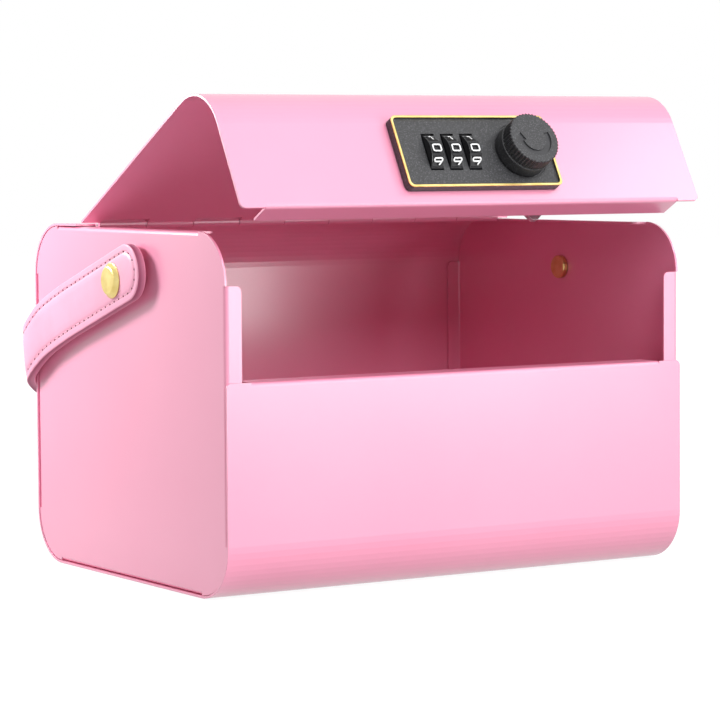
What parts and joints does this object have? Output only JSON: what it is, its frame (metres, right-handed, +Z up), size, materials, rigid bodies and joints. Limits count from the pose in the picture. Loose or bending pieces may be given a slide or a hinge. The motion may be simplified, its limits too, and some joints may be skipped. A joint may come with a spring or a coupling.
{
  "type": "medication lock box",
  "caption": "Small sheet-metal lock box with a hinged wrap-over lid, a combination cam lock on the lid's flap and a leather strap handle.",
  "frame": {"origin": "middle of the flat underside of the base", "axes": "+X along the box's width to the right seen from the front, +Y from the front to the rear, +Z up"},
  "size_m": [0.2578, 0.2175, 0.2156],
  "materials": {
    "painted_shell": "satin",
    "strap_leather": "satin",
    "brass": "polished",
    "steel": "satin",
    "nylon": "matte",
    "lock_black": "matte",
    "dial_black": "gloss"
  },
  "bodies": {
    "box": {"body_shell": "painted_shell", "left_side_panel": "painted_shell", "right_side_panel": "painted_shell", "hinge_body_leaf": "painted_shell", "hinge_pin": "steel", "left_pivot_screw": "brass", "left_pivot_nut": "brass", "left_pivot_washer": "nylon", "right_pivot_screw": "brass", "right_pivot_nut": "brass", "right_pivot_washer": "nylon"},
    "handle": {"handle_strap": "strap_leather"},
    "lid": {"lid_shell": "painted_shell", "hinge_lid_leaf": "painted_shell", "lock_plate": "lock_black", "lock_trim": "brass", "lock_housing": "lock_black", "dial_axle": "steel", "detent_spring": "steel", "lock_screw_1": "steel", "lock_screw_2": "steel", "lock_screw_3": "steel", "lock_screw_4": "steel"},
    "dial_1": {"dial_wheel_1": "dial_black", "dial_sleeve_1": "brass"},
    "dial_2": {"dial_wheel_2": "dial_black", "dial_sleeve_2": "brass"},
    "dial_3": {"dial_wheel_3": "dial_black", "dial_sleeve_3": "brass"},
    "slide": {"locking_slide": "steel"},
    "reset": {"reset_screw": "steel"},
    "knob": {"lock_knob": "lock_black", "knob_spindle": "steel", "lock_cam": "steel", "cam_nut": "steel"}
  },
  "joints": [
    {"name": "handle_swing", "type": "hinge", "parent": "box", "child": "handle", "pos_m": [0, 0, 0.1343], "axis": [1, 0, 0], "range_deg": [0, 115]},
    {"name": "lid_hinge", "type": "hinge", "parent": "box", "child": "lid", "pos_m": [0, 0.0452, 0.1585], "axis": [-1, 0, 0], "range_deg": [-28.6, 116]},
    {"name": "dial_1_spin", "type": "hinge", "parent": "lid", "child": "dial_1", "pos_m": [-0.02, -0.09254, 0.18747], "axis": [1, 0, 0], "continuous": true},
    {"name": "dial_2_spin", "type": "hinge", "parent": "lid", "child": "dial_2", "pos_m": [-0.01, -0.09254, 0.18747], "axis": [1, 0, 0], "continuous": true},
    {"name": "dial_3_spin", "type": "hinge", "parent": "lid", "child": "dial_3", "pos_m": [0, -0.09254, 0.18747], "axis": [1, 0, 0], "continuous": true},
    {"name": "knob_turn", "type": "hinge", "parent": "lid", "child": "knob", "pos_m": [0.0266, -0.09465, 0.18862], "axis": [0, -0.878, 0.4787], "range_deg": [-37.5, 52.5]},
    {"name": "slide_travel", "type": "slide", "parent": "lid", "child": "slide", "axis": [1, 0, 0], "range_m": [-0.00083, 0.00117]},
    {"name": "reset_turn", "type": "hinge", "parent": "lid", "child": "reset", "pos_m": [0.01345, -0.09096, 0.19538], "axis": [0, -0.878, 0.4787], "range_deg": [0, 90]}
  ],
  "couplings": [
    {"joint": "slide_travel", "follows": "knob_turn", "m_per_rad": 0.0012732}
  ]
}
